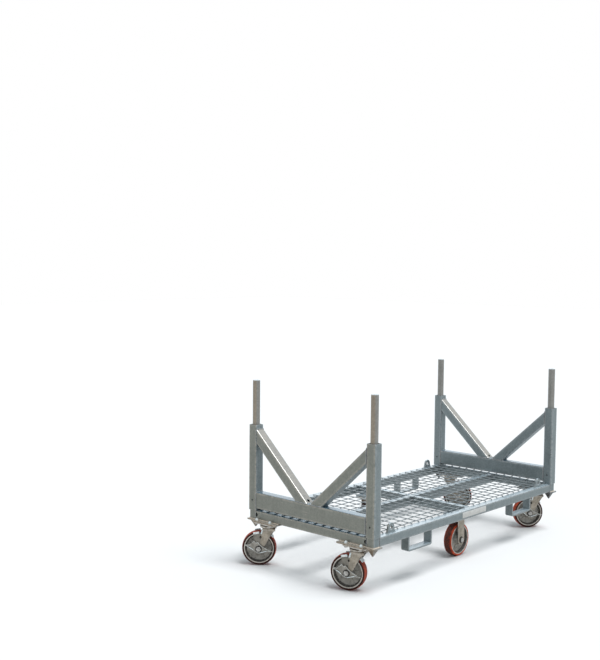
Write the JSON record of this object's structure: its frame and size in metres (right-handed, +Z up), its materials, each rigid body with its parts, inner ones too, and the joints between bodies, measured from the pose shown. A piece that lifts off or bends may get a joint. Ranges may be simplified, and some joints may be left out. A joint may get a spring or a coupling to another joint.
{
  "type": "long material cart",
  "caption": "Long stackable steel cart with a mesh deck, lift-off end frames with round stakes, fork pockets and swivel casters, for moving pipes and bar stock.",
  "frame": {"origin": "on the floor, under the middle of the deck", "axes": "+X along the cart towards its rear end frame, +Y to its left side, +Z up"},
  "size_m": [2.086, 0.955, 1.073],
  "materials": {
    "galvanised_steel": "hot-dip galvanised, dull grey with a faint spangle",
    "plated_steel": "zinc plated and passivated, worn warm grey",
    "cast_iron": "grey cast iron, lightly coated",
    "red_polyurethane": "cast brick-red tread, scuffed",
    "blank_sign": "pale, blank"
  },
  "bodies": {
    "base": {"centre_frame": "galvanised_steel", "sign_plate": "blank_sign", "left_side_rail": "galvanised_steel", "right_side_rail": "galvanised_steel", "front_end_rail": "galvanised_steel", "front_mesh_panel": "galvanised_steel", "rear_end_rail": "galvanised_steel", "rear_mesh_panel": "galvanised_steel", "front_right_corner_stub": "galvanised_steel", "front_right_fork_pocket": "galvanised_steel", "front_right_lifting_lug": "galvanised_steel", "front_right_caster_plate": "plated_steel", "front_left_corner_stub": "galvanised_steel", "front_left_fork_pocket": "galvanised_steel", "front_left_lifting_lug": "galvanised_steel", "front_left_caster_plate": "plated_steel", "rear_right_corner_stub": "galvanised_steel", "rear_right_fork_pocket": "galvanised_steel", "rear_right_lifting_lug": "galvanised_steel", "rear_right_caster_plate": "plated_steel", "rear_left_corner_stub": "galvanised_steel", "rear_left_fork_pocket": "galvanised_steel", "rear_left_lifting_lug": "galvanised_steel", "rear_left_caster_plate": "plated_steel", "middle_right_fixed_bracket": "plated_steel", "middle_left_fixed_bracket": "plated_steel"},
    "front_end_frame": {"front_bottom_rail": "galvanised_steel", "front_right_post": "galvanised_steel", "front_right_brace": "galvanised_steel", "front_left_post": "galvanised_steel", "front_left_brace": "galvanised_steel"},
    "rear_end_frame": {"rear_bottom_rail": "galvanised_steel", "rear_right_post": "galvanised_steel", "rear_right_brace": "galvanised_steel", "rear_left_post": "galvanised_steel", "rear_left_brace": "galvanised_steel"},
    "front_right_stake_pipe": {"front_right_stake": "galvanised_steel"},
    "front_right_fork": {"front_right_swivel_fork": "plated_steel"},
    "front_right_wheel": {"front_right_wheel_core": "cast_iron", "front_right_tyre": "red_polyurethane"},
    "front_right_brake": {"front_right_brake_lever": "plated_steel"},
    "front_left_stake_pipe": {"front_left_stake": "galvanised_steel"},
    "front_left_fork": {"front_left_swivel_fork": "plated_steel"},
    "front_left_wheel": {"front_left_wheel_core": "cast_iron", "front_left_tyre": "red_polyurethane"},
    "front_left_brake": {"front_left_brake_lever": "plated_steel"},
    "rear_right_stake_pipe": {"rear_right_stake": "galvanised_steel"},
    "rear_right_fork": {"rear_right_swivel_fork": "plated_steel"},
    "rear_right_wheel": {"rear_right_wheel_core": "cast_iron", "rear_right_tyre": "red_polyurethane"},
    "rear_right_brake": {"rear_right_brake_lever": "plated_steel"},
    "rear_left_stake_pipe": {"rear_left_stake": "galvanised_steel"},
    "rear_left_fork": {"rear_left_swivel_fork": "plated_steel"},
    "rear_left_wheel": {"rear_left_wheel_core": "cast_iron", "rear_left_tyre": "red_polyurethane"},
    "rear_left_brake": {"rear_left_brake_lever": "plated_steel"},
    "middle_right_wheel": {"middle_right_wheel_core": "cast_iron", "middle_right_tyre": "red_polyurethane"},
    "middle_left_wheel": {"middle_left_wheel_core": "cast_iron", "middle_left_tyre": "red_polyurethane"}
  },
  "joints": [
    {"name": "front_frame_lift", "type": "slide", "parent": "base", "child": "front_end_frame", "axis": [0, 0, 1], "range_m": [0, 0.2]},
    {"name": "rear_frame_lift", "type": "slide", "parent": "base", "child": "rear_end_frame", "axis": [0, 0, 1], "range_m": [0, 0.2]},
    {"name": "front_right_stake_lift", "type": "slide", "parent": "base", "child": "front_right_stake_pipe", "axis": [0, 0, 1], "range_m": [0, 0.56]},
    {"name": "front_right_swivel", "type": "hinge", "parent": "base", "child": "front_right_fork", "pos_m": [-0.93, -0.3385, 0.233], "axis": [0, 0, 1], "continuous": true},
    {"name": "front_right_wheel_spin", "type": "hinge", "parent": "front_right_fork", "child": "front_right_wheel", "pos_m": [-0.9471, -0.29152, 0.1], "axis": [-0.9397, -0.342, 0], "continuous": true},
    {"name": "front_right_brake_press", "type": "hinge", "parent": "front_right_fork", "child": "front_right_brake", "pos_m": [-0.9471, -0.29152, 0.1], "axis": [-0.9397, -0.342, 0], "range_deg": [0, 22]},
    {"name": "front_left_stake_lift", "type": "slide", "parent": "base", "child": "front_left_stake_pipe", "axis": [0, 0, 1], "range_m": [0, 0.56]},
    {"name": "front_left_swivel", "type": "hinge", "parent": "base", "child": "front_left_fork", "pos_m": [-0.93, 0.3385, 0.233], "axis": [0, 0, 1], "continuous": true},
    {"name": "front_left_wheel_spin", "type": "hinge", "parent": "front_left_fork", "child": "front_left_wheel", "pos_m": [-0.96078, 0.3779, 0.1], "axis": [-0.788, -0.6157, 0], "continuous": true},
    {"name": "front_left_brake_press", "type": "hinge", "parent": "front_left_fork", "child": "front_left_brake", "pos_m": [-0.96078, 0.3779, 0.1], "axis": [-0.788, -0.6157, 0], "range_deg": [0, 22]},
    {"name": "rear_right_stake_lift", "type": "slide", "parent": "base", "child": "rear_right_stake_pipe", "axis": [0, 0, 1], "range_m": [0, 0.56]},
    {"name": "rear_right_swivel", "type": "hinge", "parent": "base", "child": "rear_right_fork", "pos_m": [0.93, -0.3385, 0.233], "axis": [0, 0, 1], "continuous": true},
    {"name": "rear_right_wheel_spin", "type": "hinge", "parent": "rear_right_fork", "child": "rear_right_wheel", "pos_m": [0.8906, -0.30772, 0.1], "axis": [-0.6157, -0.788, 0], "continuous": true},
    {"name": "rear_right_brake_press", "type": "hinge", "parent": "rear_right_fork", "child": "rear_right_brake", "pos_m": [0.8906, -0.30772, 0.1], "axis": [-0.6157, -0.788, 0], "range_deg": [0, 22]},
    {"name": "rear_left_stake_lift", "type": "slide", "parent": "base", "child": "rear_left_stake_pipe", "axis": [0, 0, 1], "range_m": [0, 0.56]},
    {"name": "rear_left_swivel", "type": "hinge", "parent": "base", "child": "rear_left_fork", "pos_m": [0.93, 0.3385, 0.233], "axis": [0, 0, 1], "continuous": true},
    {"name": "rear_left_wheel_spin", "type": "hinge", "parent": "rear_left_fork", "child": "rear_left_wheel", "pos_m": [0.96078, 0.2991, 0.1], "axis": [0.788, 0.6157, 0], "continuous": true},
    {"name": "rear_left_brake_press", "type": "hinge", "parent": "rear_left_fork", "child": "rear_left_brake", "pos_m": [0.96078, 0.2991, 0.1], "axis": [0.788, 0.6157, 0], "range_deg": [0, 22]},
    {"name": "middle_right_wheel_spin", "type": "hinge", "parent": "base", "child": "middle_right_wheel", "pos_m": [0, -0.34, 0.1], "axis": [0, 1, 0], "continuous": true},
    {"name": "middle_left_wheel_spin", "type": "hinge", "parent": "base", "child": "middle_left_wheel", "pos_m": [0, 0.34, 0.1], "axis": [0, 1, 0], "continuous": true}
  ]
}
